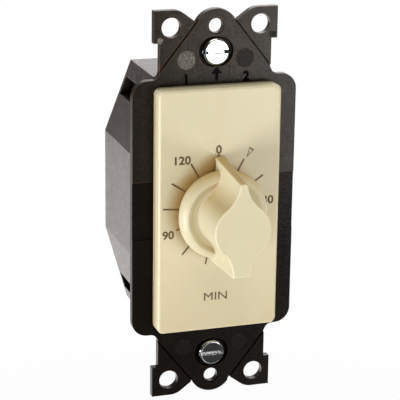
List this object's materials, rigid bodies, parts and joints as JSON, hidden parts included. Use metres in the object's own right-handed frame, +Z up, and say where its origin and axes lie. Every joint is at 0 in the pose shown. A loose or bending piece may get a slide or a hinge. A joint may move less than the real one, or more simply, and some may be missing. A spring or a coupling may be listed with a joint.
{
  "type": "timer light switch",
  "caption": "Spring-wound in-wall timer switch: black mounting strap, ivory dial plate and pointer knob, black housing with a clockwork movement and a cam-operated contact",
  "frame": {"origin": "on the strap's back face, on the axis of the knob, midway between the wall plate's screw holes", "axes": "+X to the right seen from the front, +Y into the wall, +Z up"},
  "size_m": [0.0448, 0.0573, 0.1058],
  "materials": {
    "black_plastic": "moulded, fine sand texture",
    "ivory_plastic": "smooth moulded, soft gloss",
    "cam_plastic": "moulded",
    "zinc_steel": "zinc plated",
    "steel": "turned",
    "spring_steel": "blued",
    "brass": "stamped",
    "terminal_brass": "stamped",
    "contact_silver": "polished"
  },
  "bodies": {
    "switch_frame": {"mounting_strap": "black_plastic", "face_plate": "ivory_plastic", "arbor_bushing": "brass", "rear_housing": "black_plastic", "housing_screws": "zinc_steel", "box_screws": "zinc_steel", "upper_screw_retainer": "zinc_steel", "lower_screw_retainer": "zinc_steel", "movement_front_plate": "brass", "movement_back_plate": "brass", "movement_pillar_1": "brass", "movement_pillar_2": "brass", "movement_pillar_3": "brass", "movement_pillar_4": "brass", "movement_screws": "zinc_steel", "mainspring": "spring_steel", "lever_post": "steel", "lever_spring": "spring_steel", "load_terminal": "terminal_brass", "line_terminal": "terminal_brass", "fixed_contact": "contact_silver", "terminal_screws": "zinc_steel", "line_wire_clamp": "terminal_brass", "load_wire_clamp": "terminal_brass"},
    "dial": {"knob": "ivory_plastic", "knob_clip": "spring_steel", "winding_arbor": "steel", "retaining_ring": "spring_steel", "switch_cam": "cam_plastic", "main_wheel": "brass", "ratchet_wheel": "steel", "ratchet_click": "steel"},
    "second_arbor": {"second_wheel": "brass", "second_pinion": "steel"},
    "third_arbor": {"third_wheel": "brass", "third_pinion": "steel"},
    "escape_arbor": {"escape_wheel": "brass", "escape_pinion": "steel"},
    "verge_arbor": {"verge": "steel", "verge_staff": "steel"},
    "switch_lever": {"contact_lever": "terminal_brass", "moving_contact": "contact_silver"}
  },
  "joints": [
    {"name": "knob_turn", "type": "hinge", "parent": "switch_frame", "child": "dial", "pos_m": [0, 0, 0], "axis": [0, 1, 0], "range_deg": [0, 330], "stiffness_Nm_per_rad": 0.008, "springref_deg": -57.3},
    {"name": "second_arbor_turn", "type": "hinge", "parent": "switch_frame", "child": "second_arbor", "pos_m": [0.00592, 0.014, 0.01269], "axis": [0, 1, 0], "range_deg": [-1980, 0]},
    {"name": "third_arbor_turn", "type": "hinge", "parent": "switch_frame", "child": "third_arbor", "pos_m": [-0.00472, 0.014, 0.01456], "axis": [0, 1, 0], "range_deg": [0, 9900]},
    {"name": "escape_arbor_turn", "type": "hinge", "parent": "switch_frame", "child": "escape_arbor", "pos_m": [-0.01055, 0.014, 0.00873], "axis": [0, 1, 0], "range_deg": [-44550, 0]},
    {"name": "verge_swing", "type": "hinge", "parent": "switch_frame", "child": "verge_arbor", "pos_m": [-0.0136, 0.014, 0.00345], "axis": [0, 1, 0], "range_deg": [-3, 3]},
    {"name": "contact_lever_swing", "type": "hinge", "parent": "switch_frame", "child": "switch_lever", "pos_m": [-0.008, 0.0035, 0.02], "axis": [0, 1, 0], "range_deg": [-4, 0]}
  ],
  "couplings": [
    {"joint": "second_arbor_turn", "follows": "knob_turn", "ratio": -6},
    {"joint": "third_arbor_turn", "follows": "knob_turn", "ratio": 30},
    {"joint": "escape_arbor_turn", "follows": "knob_turn", "ratio": -135},
    {"joint": "contact_lever_swing", "follows": "knob_turn", "ratio": -0.012121}
  ]
}
